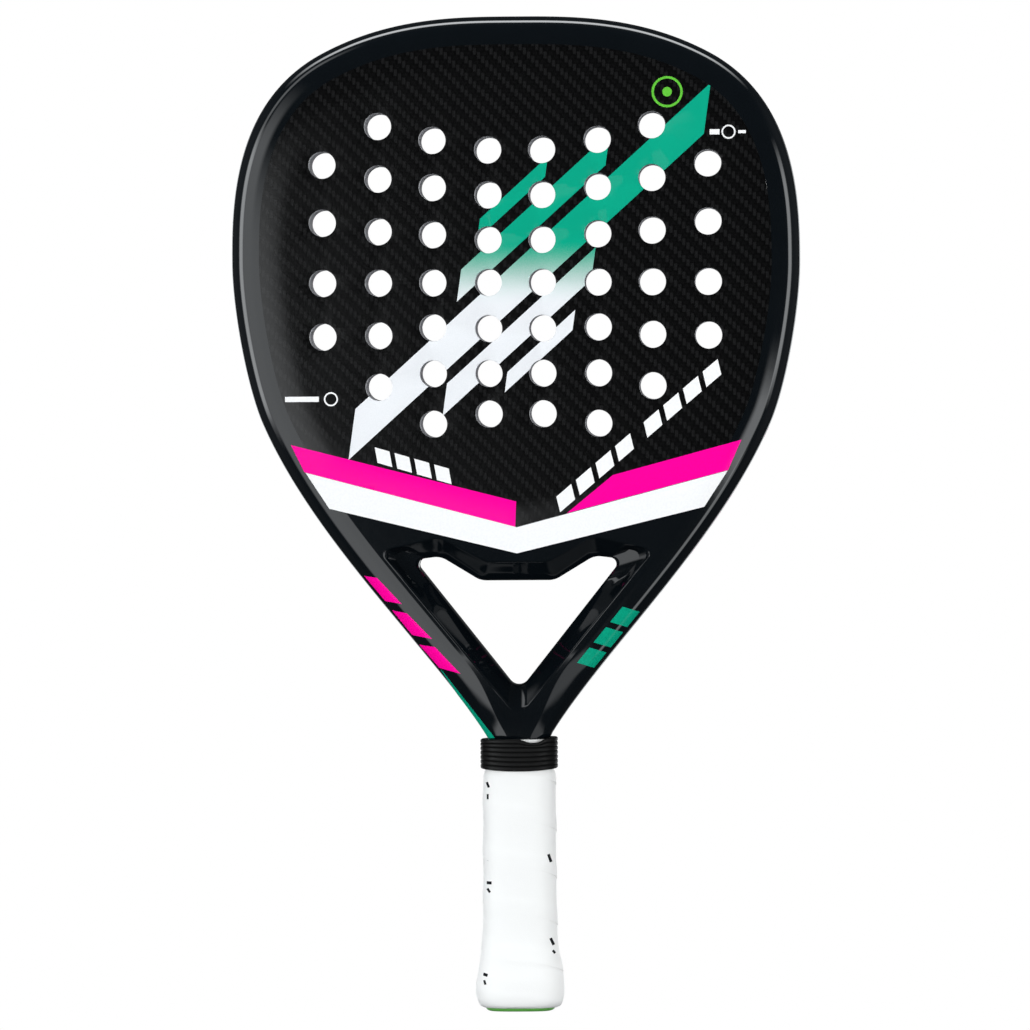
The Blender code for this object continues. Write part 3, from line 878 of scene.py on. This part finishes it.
# Short black marks at the sides of the grip, where its print would run round.
GRIP_MARKS = [
    bar((-14.6, 105.0), (-13.6, 102.6), 1.1), bar((-14.2, 99.6), (-14.2, 97.2), 0.9),
    bar((-14.9, 59.0), (-12.6, 59.0), 1.4), bar((-14.6, 56.4), (-13.4, 54.6), 1.1),
    bar((-16.6, 17.4), (-14.6, 16.8), 1.4), bar((-16.2, 14.6), (-15.6, 12.6), 1.0),
    bar((13.4, 72.0), (14.6, 68.4), 1.2), bar((14.2, 33.6), (15.6, 30.4), 1.2),
    bar((15.2, 28.0), (16.2, 26.6), 1.0),
]


def make_prints(inks, faces, body, grip):
    white_marks = [dash for row in WHITE_DASHES for dash in dashes(*row)]
    white_marks += WHITE_BARS + WHITE_RINGS
    for side, view, face_piece in (("front", FRONT, faces[0]), ("rear", REAR, faces[1])):
        face, arms, tape = (facing(piece, view) for piece in (face_piece, body, grip))
        for name, polygons, colour, surfaces in (
            ("chevron_band", CHEVRON_BAND, "white", (face, arms)),
            ("pink_bands", PINK_BANDS, "pink", (face, arms)),
            ("speed_stripes", speed_stripes(), "fade", (face,)),
            ("small_marks", white_marks, "white", (face, arms)),
            ("badge", BADGE, "green", (face,)),
            ("arm_flashes", ARM_FLASHES, "pink", (arms,)),
            ("arm_stripe", ARM_STRIPE, "teal", (arms,)),
            ("arm_marks", dashes(*ARM_DASHES), "teal", (arms,)),
            ("grip_marks", GRIP_MARKS, "black", (tape,)),
        ):
            lay_print(f"{side}_{name}", polygons, inks[colour], view, surfaces)
    for side, view in (("right", RIGHT), ("left", LEFT)):
        lay_print(f"{side}_flank_band", FLANK_BANDS, inks["pink"], view, (facing(body, view),))


# ---- Materials ----


class Graph:
    """Short ways to add nodes to a node tree."""

    def __init__(self, tree):
        self.tree = tree

    def feed(self, socket, value):
        """Link a socket's value, or set it."""
        if isinstance(value, bpy.types.NodeSocket):
            self.tree.links.new(value, socket)
        elif isinstance(value, tuple) and socket.type == "RGBA":
            socket.default_value = (*value, 1.0)
        else:
            socket.default_value = value

    def node(self, kind, inputs=None, **settings):
        """A new node, with its settings and with values or links for some of its inputs."""
        node = self.tree.nodes.new("ShaderNode" + kind)
        for name, value in settings.items():
            setattr(node, name, value)
        for socket, value in (inputs or {}).items():
            self.feed(node.inputs[socket], value)
        return node

    def math(self, operation, a, b=0.0):
        return self.node("Math", {0: a, 1: b}, operation=operation).outputs["Value"]

    def plus(self, a, b):
        return self.math("ADD", a, b)

    def minus(self, a, b):
        return self.math("SUBTRACT", a, b)

    def times(self, a, b):
        return self.math("MULTIPLY", a, b)

    def stretched(self, place, factors):
        """A place with each of its coordinates multiplied."""
        node = self.node("VectorMath", {0: place, 1: factors}, operation="MULTIPLY")
        return node.outputs["Vector"]

    def axes(self, place):
        return self.node("SeparateXYZ", {0: place}).outputs[:]

    def remap(self, *value_and_ranges):
        """Ease a value from one range, given as low and high, to another."""
        inputs = dict(enumerate(value_and_ranges))
        return self.node("MapRange", inputs, interpolation_type="SMOOTHSTEP").outputs["Result"]

    def mix(self, share, a, b):
        """Between two colours."""
        return self.node("Mix", {0: share, 6: a, 7: b}, data_type="RGBA").outputs[2]


class Shading(Graph):
    """One material, with textures placed in millimetres."""

    def __init__(self, name):
        self.material = bpy.data.materials.new(name)
        self.material.use_nodes = True
        super().__init__(self.material.node_tree)
        self.shader = self.tree.nodes["Principled BSDF"]
        place = self.node("TexCoord").outputs["Object"]
        self.place = self.stretched(place, (1.0 / MM,) * 3)

    def set(self, **values):
        """Set or link the shader's inputs, named with underscores for spaces."""
        for name, value in values.items():
            self.feed(self.shader.inputs[name.replace("_", " ")], value)
        return self

    def noise(self, scale, detail=3.0, stretch=(1.0, 1.0, 1.0), roughness=0.5):
        """Noise with scale features per millimetre."""
        inputs = {"Scale": scale, "Detail": detail, "Roughness": roughness}
        inputs["Vector"] = self.stretched(self.place, stretch)
        return self.node("TexNoise", inputs).outputs["Fac"]

    def cells(self, scale):
        """Distance to the nearest of scale points per millimetre."""
        return self.node("TexVoronoi", {"Vector": self.place, "Scale": scale}).outputs["Distance"]

    def bump(self, height, depth):
        """A normal from a height of 0 to 1 that stands for depth millimetres."""
        return self.node("Bump", {"Distance": depth * MM, "Height": height}).outputs["Normal"]


PEEL_SCALE, PEEL_DEPTH = 0.25, 0.004  # the waviness of sprayed lacquer
PRINT_COAT_ROUGHNESS = 0.05
INK_COAT, FADE_COAT = 0.12, 0.2
ROUGHNESS_SPREAD = 0.06  # of moulded and wrapped surfaces, over their grain


def lacquered(shade, coat_roughness=0.03, weight=1.0):
    """Add the clear coat, with its slight waviness."""
    shade.set(Coat_Weight=weight, Coat_Roughness=coat_roughness, Coat_IOR=1.5)
    shade.set(Coat_Normal=shade.bump(shade.noise(PEEL_SCALE, 1.0), PEEL_DEPTH))
    return shade.material


def gloss_frame():
    shade = Shading("gloss_black_lacquer")
    cloud = shade.noise(0.06, 4.0)
    shade.set(Base_Color=shade.mix(cloud, (0.0016, 0.0028, 0.0040), (0.0026, 0.0042, 0.0058)))
    shade.set(Roughness=shade.remap(shade.noise(0.5, 3.0), 0.3, 0.7, 0.22, 0.3))
    shade.set(Specular_IOR_Level=0.02)
    return lacquered(shade)


TOW = 1.9  # width of one carbon tow
FLOAT = 2.0  # tows that each float passes over
# How far in a tow is rounded off, in its relief and in the painted shade towards its edges: a share
# of its width, then of a float's length.
UPRIGHT_SOFT, CROSS_SOFT = (0.24, 0.18), (0.22, 0.46)


def carbon_twill():
    """Two-by-two twill under lacquer: the upright floats are painted lighter as a painted sheen,
    the cross tows darker as their painted shade, and every tow is painted darker towards its edges
    as painted shade in the gaps.
    """
    shade = Shading("carbon_twill")
    x, _, z = shade.axes(shade.place)
    u, v = shade.math("DIVIDE", x, TOW), shade.math("DIVIDE", z, TOW)
    column, row = shade.math("FLOOR", u), shade.math("FLOOR", v)
    phase = shade.math("FLOORED_MODULO", shade.plus(column, row), 2 * FLOAT)
    upright = shade.math("LESS_THAN", phase, FLOAT - 0.5)
    across, up = shade.math("FRACT", u), shade.math("FRACT", v)

    def round_off(share, soft):
        """0 at both ends of 0 to 1, and 1 past soft."""
        near = shade.math("MINIMUM", share, shade.minus(1.0, share))
        return shade.remap(near, 0.0, soft, 0.0, 1.0)

    def tow(share_across, passed, along, soft):
        """Height of a tow, from how far it is across and how many tows its float has passed."""
        share_along = shade.times(shade.plus(passed, along), 1 / FLOAT)
        return shade.times(round_off(share_across, soft[0]), round_off(share_along, soft[1]))

    late = shade.math("FLOORED_MODULO", shade.minus(phase, FLOAT), 2 * FLOAT)
    tow_up = tow(across, phase, up, UPRIGHT_SOFT)
    tow_across = tow(up, late, across, CROSS_SOFT)
    crosswise = shade.minus(1.0, upright)
    height = shade.plus(shade.times(upright, tow_up), shade.times(crosswise, tow_across))

    fibres = shade.noise(3.0, 2.0, (1.0, 1.0, 0.06))
    cross_fibres = shade.noise(3.0, 2.0, (0.06, 1.0, 1.0))
    uneven = shade.noise(0.12, 3.0)
    # Painted sheen and shade: the upright floats take the lighter colour, as if they caught the
    # light, and the cross tows the darker one. The fibre streaks and the unevenness are the tows'
    # own grain.
    light = shade.mix(fibres, (0.0062, 0.0062, 0.0065), (0.0096, 0.0096, 0.0100))
    light = shade.mix(uneven, light, (0.0074, 0.0074, 0.0077))
    cross_tows_shaded = shade.mix(cross_fibres, (0.0012, 0.0012, 0.0013), (0.0028, 0.0028, 0.0030))
    # Painted shade: each tow darkens to this colour at its rounded edges and in the gaps between
    # tows.
    gap = (0.0005, 0.0005, 0.0006)
    shade.set(Base_Color=shade.mix(height, gap, shade.mix(upright, cross_tows_shaded, light)))
    shade.set(Roughness=shade.remap(fibres, 0.3, 0.7, 0.34, 0.46), Specular_IOR_Level=0.03)
    shade.set(Normal=shade.bump(height, 0.04))
    lacquered(shade, 0.04, weight=0.75)
    grain = shade.noise(1.6, 4.0, roughness=0.7)
    return shade.set(Coat_Normal=shade.bump(grain, 0.011)).material


def ink(name, colour, mottle):
    """A print under lacquer: one colour, faintly mottled."""
    shade = Shading(name)
    speck = shade.remap(shade.noise(0.9, 5.0, roughness=0.7), 0.35, 0.65, 0.0, 1.0)
    shade.set(Base_Color=shade.mix(speck, colour, mottle), Roughness=0.45)
    shade.set(Specular_IOR_Level=0.0)
    return lacquered(shade, PRINT_COAT_ROUGHNESS, INK_COAT)


FADE_LOW_Z, FADE_HIGH_Z = 322.0, 352.0
FADE_RAGGED = 10.0  # the height over which specks shift the fade


def fading_ink():
    """Silver white low on the face, and teal above."""
    shade = Shading("ink_silver_to_teal")
    _, _, z = shade.axes(shade.place)
    speck = shade.noise(2.4, 3.0, roughness=0.8)
    silver = shade.mix(speck, (0.70, 0.72, 0.75), (0.88, 0.89, 0.91))
    edge = shade.plus(z, shade.times(shade.minus(speck, 0.5), FADE_RAGGED))
    share = shade.remap(edge, FADE_LOW_Z, FADE_HIGH_Z, 0.0, 1.0)
    teal = shade.mix(speck, (0.0030, 0.335, 0.205), (0.0045, 0.375, 0.235))
    shade.set(Base_Color=shade.mix(share, silver, teal), Roughness=0.45, Specular_IOR_Level=0.0)
    return lacquered(shade, PRINT_COAT_ROUGHNESS, FADE_COAT)


def eva_foam(name, pale, pit_shade, scale=1.6):
    """Closed-cell foam: fine bubbles cut open, painted darker in their hollows as painted shade."""
    shade = Shading(name)
    bubbles = shade.remap(shade.cells(scale), 0.1, 0.7, 0.0, 1.0)
    # Painted shade: the colour darkens into the hollow of each cut bubble, where the relief is
    # lowest.
    shade.set(Base_Color=shade.mix(bubbles, pit_shade, pale), Roughness=0.92)
    shade.set(Normal=shade.bump(bubbles, 0.08), Specular_IOR_Level=0.25)
    return shade.material


def grip_tape():
    """White polyurethane tape: a fine dimpled grain, dull but tacky."""
    shade = Shading("white_grip_tape")
    grain = shade.cells(2.6)
    stain = shade.noise(0.05, 4.0)
    shade.set(Base_Color=shade.mix(stain, (0.84, 0.84, 0.83), (0.88, 0.88, 0.87)))
    shade.set(Roughness=shade.remap(grain, 0.0, 0.6, 0.62, 0.48), Specular_IOR_Level=0.2)
    shade.set(Normal=shade.bump(grain, 0.03))
    shade.set(Sheen_Weight=0.08, Sheen_Roughness=0.4)
    return shade.material


def plain_surface(name, colour, other, roughness, scale, depth, specular=0.4):
    """A moulded or wrapped surface: two near colours in a grain, with a matching relief."""
    shade = Shading(name)
    grain = shade.noise(scale, 4.0, roughness=0.6)
    shade.set(Base_Color=shade.mix(grain, colour, other), Specular_IOR_Level=specular)
    rough = (roughness - ROUGHNESS_SPREAD, roughness + ROUGHNESS_SPREAD)
    shade.set(Roughness=shade.remap(grain, 0.3, 0.7, *rough))
    shade.set(Normal=shade.bump(grain, depth))
    return shade.material


STRANDS = 4.0  # radians of the strands' wave for each millimetre


def fibre_wrap():
    """Crossed glass and carbon strands in resin."""
    shade = Shading("fibre_wrap")
    x, _, z = shade.axes(shade.place)
    up = shade.math("SINE", shade.times(shade.plus(x, z), STRANDS))
    down = shade.math("SINE", shade.times(shade.minus(x, z), STRANDS))
    strands = shade.remap(shade.times(up, down), -1.0, 1.0, 0.0, 1.0)
    shade.set(Base_Color=shade.mix(strands, (0.010, 0.010, 0.010), (0.055, 0.053, 0.048)))
    shade.set(Roughness=0.5, Normal=shade.bump(strands, 0.06))
    return shade.material


def repaint(node, material):
    """Give a CAD node that keeps its shape a better material."""
    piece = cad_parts[node]
    for slot in piece.material_slots:
        slot.link = "OBJECT"
        slot.material = material


# ---- Stage, in metres ----

CAMERA_DISTANCE = 4.55
CAMERA_AZIMUTH = math.radians(1.64)
CAMERA_HEIGHT = 0.30
VIEW_MIDDLE = Vector((-0.0013, 0.0, 0.227))
VIEW_WIDTH = 0.4719  # what the picture spans at the racket
CAMERA_ROLL = math.radians(0.33)
SENSOR = 36.0
PANEL_DISTANCE = 2.6
WATTS = 4.0  # for a square metre of panel with a radiance of 1
# Soft lights: name, azimuth, elevation, width, height and radiance. Azimuth 0 is the front and 90
# the racket's right. Width and height are the angles that a light fills, all in degrees.
PANELS = (
    ("front_fill", 0.0, 20.0, 40.0, 30.0, 1.2),
    ("right_fill", 80.0, 5.0, 40.0, 40.0, 1.6),
    ("rear_fill", 180.0, 20.0, 60.0, 40.0, 2.4),
)


def add_camera():
    camera = new_object("camera", bpy.data.cameras.new("camera"))
    offset = Vector((math.sin(CAMERA_AZIMUTH), -math.cos(CAMERA_AZIMUTH), 0.0))
    camera.location = VIEW_MIDDLE + offset * CAMERA_DISTANCE
    camera.location.z = CAMERA_HEIGHT
    look = (VIEW_MIDDLE - camera.location).to_track_quat("-Z", "Y").to_matrix().to_4x4()
    roll = Matrix.Rotation(CAMERA_ROLL, 4, "Z")
    camera.matrix_world = Matrix.Translation(camera.location) @ look @ roll.inverted()
    camera.data.sensor_width = SENSOR
    camera.data.lens = SENSOR * CAMERA_DISTANCE / VIEW_WIDTH
    bpy.context.scene.camera = camera


def add_panel(name, azimuth, elevation, width, height, radiance):
    """A soft light that neither the camera nor the lacquer sees."""
    light = bpy.data.lights.new(name, "AREA")
    light.shape = "RECTANGLE"
    light.size = 2 * PANEL_DISTANCE * math.tan(math.radians(width) / 2)
    light.size_y = 2 * PANEL_DISTANCE * math.tan(math.radians(height) / 2)
    light.energy = WATTS * light.size * light.size_y * radiance
    panel = new_object(name, light)
    a, e = math.radians(azimuth), math.radians(elevation)
    away = Vector((math.sin(a) * math.cos(e), -math.cos(a) * math.cos(e), math.sin(e)))
    panel.location = VIEW_MIDDLE + away * PANEL_DISTANCE
    panel.rotation_euler = away.to_track_quat("Z", "Y").to_euler()
    panel.visible_camera = False
    panel.visible_glossy = False


ROOM_TINT = (0.97, 1.00, 1.02)
# Soft boxes in the room, which the lacquer mirrors. Each is a sector round the view axis: four
# angles from the axis and four round it, up from the left, where it starts, is full, starts to fade
# and has gone, and its radiance.
FRONT_BOXES = (
    ((41.0, 50.0, 64.0, 74.0), (-27.0, -15.0, 14.0, 30.0), 5.9),
    ((2.2, 7.0, 18.0, 26.0), (-86.0, -74.0, 0.0, 26.0), 1.9),
    ((18.0, 26.0, 38.0, 50.0), (-86.0, -74.0, 18.0, 50.0), 2.0),
    ((52.0, 58.0, 65.0, 71.0), (8.0, 34.0, 56.0, 70.0), 2.2),
    ((40.0, 46.0, 60.0, 70.0), (156.0, 170.0, 190.0, 201.0), 4.6),
    ((17.0, 25.0, 44.0, 54.0), (189.0, 200.0, 210.0, 217.0), 3.2),
    ((40.0, 47.0, 56.0, 63.0), (207.0, 215.0, 222.0, 236.0), 3.0),
    ((12.0, 20.0, 45.0, 55.0), (224.0, 232.0, 252.0, 264.0), 1.0),
)
REAR_BOXES = (
    ((3.0, 9.0, 28.0, 38.0), (-62.0, -46.0, 4.0, 34.0), 1.5),
    ((3.0, 9.0, 28.0, 38.0), (146.0, 176.0, 226.0, 242.0), 1.2),
)
LOWEST, LOWEST_FULL = -38.0, -31.0  # no front box reaches lower than this elevation
# The overhead strip, by how far its direction leans to front and rear and how far up it points.
STRIP_SPREAD = (-0.15, -0.05, 0.14, 0.24)
STRIP_HEIGHT = (0.66, 0.97)
STRIP_RADIANCE = 9.5
# The room's own light, which grows from the first level to the second towards the far sides.
ROOM_SIDES, ROOM_LEVELS = (0.7, 1.0), (0.04, 0.14)
SEAM = 90.0  # angles round the axis are counted from straight down, where no box lies


def set_world():
    """Plain white to the camera; for lighting and reflections a dim room with soft boxes. It is
    lighter to the sides and overhead."""
    world = bpy.data.worlds.new("studio")
    bpy.context.scene.world = world
    world.use_nodes = True
    world.node_tree.nodes.clear()
    graph = Graph(world.node_tree)
    x, y, z = graph.axes(graph.node("TexCoord").outputs["Generated"])
    turn = graph.math("DEGREES", graph.math("ARCTAN2", z, graph.times(x, -1.0)))
    turn = graph.math("FLOORED_MODULO", graph.plus(turn, SEAM), 360.0)
    from_rear = graph.math("DEGREES", graph.math("ARCCOSINE", y))
    from_front = graph.minus(180.0, from_rear)

    def window(value, start, full, fading, end):
        """1 between the two middle places, and 0 outside the outer ones."""
        rise = graph.remap(value, start, full, 0.0, 1.0)
        return graph.times(rise, graph.remap(value, fading, end, 1.0, 0.0))

    elevation = graph.math("DEGREES", graph.math("ARCSINE", z))
    above = graph.remap(elevation, LOWEST, LOWEST_FULL, 0.0, 1.0)
    total = graph.remap(graph.math("ABSOLUTE", x), *ROOM_SIDES, *ROOM_LEVELS)
    for angle, boxes in ((from_front, FRONT_BOXES), (from_rear, REAR_BOXES)):
        for angles, turns, radiance in boxes:
            sector = window(turn, *(stop + SEAM for stop in turns))
            box = graph.times(graph.times(window(angle, *angles), sector), above)
            total = graph.plus(total, graph.times(box, radiance))
    strip = graph.times(window(y, *STRIP_SPREAD), graph.remap(z, *STRIP_HEIGHT, 0.0, 1.0))
    total = graph.plus(total, graph.times(strip, STRIP_RADIANCE))
    room = graph.node("Background", {"Color": ROOM_TINT, "Strength": total})
    white = graph.node("Background", {"Color": (1.0, 1.0, 1.0), "Strength": 1.0})
    camera_ray = graph.node("LightPath").outputs["Is Camera Ray"]
    shown = graph.node("MixShader", {0: camera_ray, 1: room.outputs[0], 2: white.outputs[0]})
    graph.node("OutputWorld", {"Surface": shown.outputs[0]})


# ---- Build ----

bpy.context.scene.view_settings.view_transform = "Standard"
add_camera()
set_world()
for panel in PANELS:
    add_panel(*panel)

body = make_moulded_frame(gloss_frame())
faces = make_faces(carbon_twill())
make_core(eva_foam("grey_eva_foam", (0.66, 0.66, 0.68), (0.42, 0.42, 0.44)))
grip = make_overgrip(grip_tape())
make_collar(plain_surface(
    "black_rubber", (0.0025, 0.0025, 0.0025), (0.006, 0.006, 0.006),
    roughness=0.5, scale=1.2, depth=0.02, specular=0.16))
make_end_plate(plain_surface(
    "green_plastic", (0.10, 0.36, 0.06), (0.13, 0.42, 0.08),
    roughness=0.35, scale=0.8, depth=0.01))
INKS = {
    "white": ink("ink_white", (0.90, 0.90, 0.89), (0.86, 0.86, 0.87)),
    "pink": ink("ink_pink", (1.0, 0.0015, 0.33), (0.96, 0.0012, 0.30)),
    "teal": ink("ink_teal", (0.0035, 0.33, 0.20), (0.0025, 0.28, 0.17)),
    "green": ink("ink_green", (0.13, 0.55, 0.05), (0.11, 0.48, 0.04)),
    "black": ink("ink_black", (0.010, 0.010, 0.012), (0.020, 0.020, 0.022)),
    "fade": fading_ink(),
}
make_prints(INKS, faces, body, grip)

foam = eva_foam("handle_foam", (0.44, 0.41, 0.34), (0.30, 0.27, 0.22), 1.1)
for node in ("handle_core", "handle_pallet_front", "handle_pallet_rear"):
    repaint(node, foam)
repaint("handle_sleeve", fibre_wrap())
repaint("base_grip", plain_surface(
    "cushion_grip", (0.012, 0.012, 0.012), (0.028, 0.028, 0.028),
    roughness=0.7, scale=0.9, depth=0.08))
repaint("finishing_tape", plain_surface(
    "finishing_tape", (0.014, 0.014, 0.015), (0.020, 0.020, 0.022),
    roughness=0.35, scale=0.5, depth=0.01))
repaint("butt_cap", plain_surface(
    "black_plastic", (0.010, 0.010, 0.010), (0.016, 0.016, 0.016),
    roughness=0.42, scale=1.5, depth=0.015))
